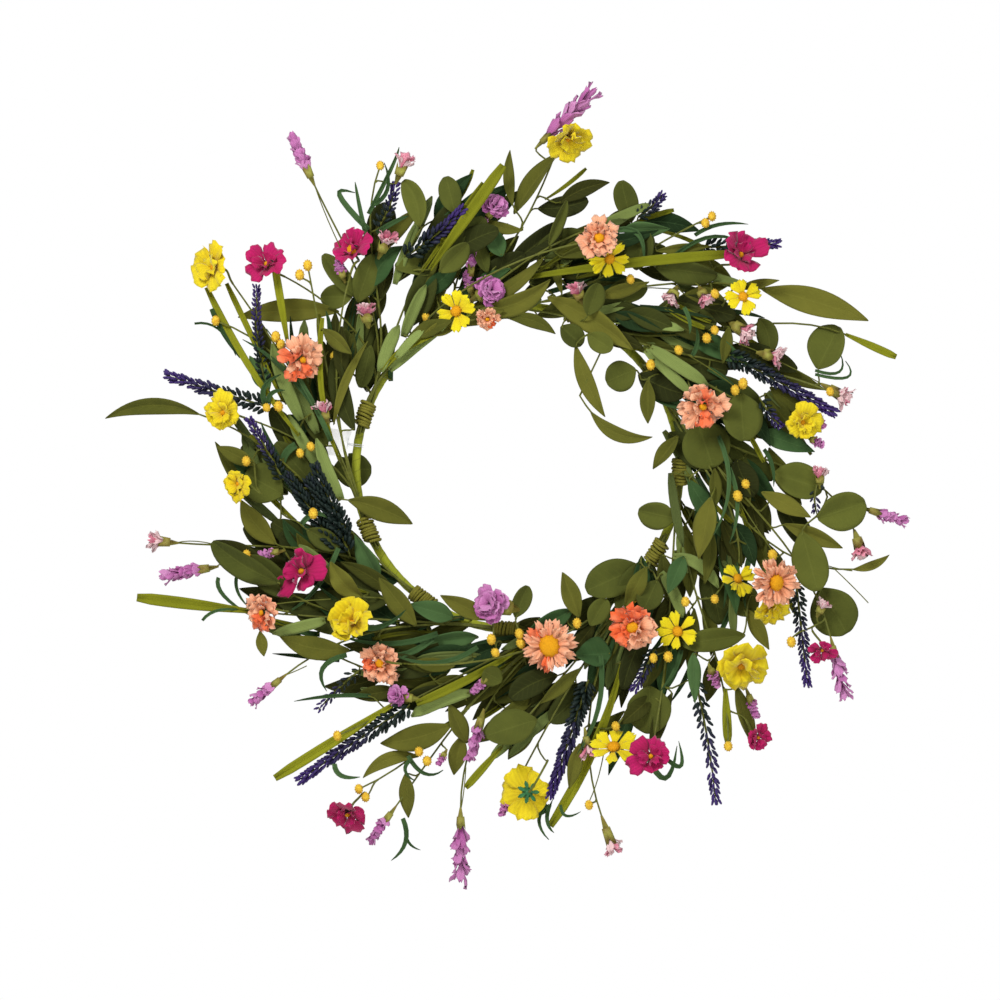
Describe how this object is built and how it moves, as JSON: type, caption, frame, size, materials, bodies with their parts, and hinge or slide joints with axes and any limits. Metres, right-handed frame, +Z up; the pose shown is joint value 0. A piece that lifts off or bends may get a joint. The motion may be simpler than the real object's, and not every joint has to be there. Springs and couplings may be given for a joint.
{
  "type": "flower wreath",
  "caption": "Artificial wildflower wreath: a taped wire hoop with bunches of leaves, lavender and coloured blooms bound round it, hung from the hoop.",
  "frame": {"origin": "the point at the top of the hoop's inner side where a hook or pin carries the wreath, in the hoop's own plane", "axes": "+Z up, -Y out of the front of the wreath towards the viewer, +X to the viewer's right"},
  "size_m": [0.606, 0.0716, 0.6106],
  "materials": {
    "core_wire": "bright drawn wire, hidden under tape",
    "floral_tape": "lime-olive stretched crepe tape, matt, spiral laps",
    "binding_wire": "dark olive paper-covered binding wire, matt",
    "foliage": "printed leaf fabric, matt",
    "yellow_petal": "dyed petal fabric, matt",
    "golden_petal": "dyed petal fabric, matt",
    "magenta_petal": "dyed petal fabric, matt",
    "peach_petal": "dyed petal fabric, matt",
    "tag_card": "plain white card",
    "tag_thread": "clear fishing-line thread"
  },
  "bodies": {
    "wreath": {"hoop_wire": "core_wire", "hoop_tape": "floral_tape", "binding_01": "binding_wire", "binding_02": "binding_wire", "binding_03": "binding_wire", "binding_04": "binding_wire", "binding_05": "binding_wire", "binding_06": "binding_wire", "binding_07": "binding_wire", "binding_08": "binding_wire", "binding_09": "binding_wire", "binding_10": "binding_wire", "binding_11": "binding_wire", "spray_01": "foliage", "spray_02": "foliage", "spray_03": "foliage", "spray_04": "foliage", "spray_05": "foliage", "spray_06": "foliage", "spray_07": "foliage", "spray_08": "foliage", "spray_09": "foliage", "spray_10": "foliage", "spray_11": "foliage", "yellow_cosmos_1": "yellow_petal", "yellow_cosmos_2": "yellow_petal", "yellow_cosmos_3": "yellow_petal", "yellow_cosmos_4": "yellow_petal", "yellow_cosmos_5": "yellow_petal", "yellow_cosmos_6": "yellow_petal", "ruffled_yellow_1": "golden_petal", "ruffled_yellow_2": "golden_petal", "ruffled_yellow_3": "golden_petal", "ruffled_yellow_4": "golden_petal", "ruffled_yellow_5": "golden_petal", "ruffled_yellow_6": "golden_petal", "ruffled_yellow_7": "golden_petal", "ruffled_yellow_8": "golden_petal", "ruffled_yellow_9": "golden_petal", "magenta_bloom_1": "magenta_petal", "magenta_bloom_2": "magenta_petal", "magenta_bloom_3": "magenta_petal", "magenta_bloom_4": "magenta_petal", "magenta_bloom_5": "magenta_petal", "magenta_bloom_6": "magenta_petal", "magenta_bloom_7": "magenta_petal", "magenta_bloom_8": "magenta_petal", "peach_bloom_1": "peach_petal", "peach_bloom_2": "peach_petal", "peach_bloom_3": "peach_petal", "peach_bloom_4": "peach_petal", "peach_bloom_5": "peach_petal", "peach_bloom_6": "peach_petal", "peach_bloom_7": "peach_petal", "peach_bloom_8": "peach_petal", "peach_bloom_9": "peach_petal"},
    "tag": {"hang_tag": "tag_card", "tag_thread": "tag_thread"}
  },
  "joints": [
    {"name": "tag_swing", "type": "hinge", "parent": "wreath", "child": "tag", "pos_m": [-0.12081, 0, -0.10162], "axis": [0.1392, 0, 0.9903], "range_deg": [-80, 8]}
  ]
}
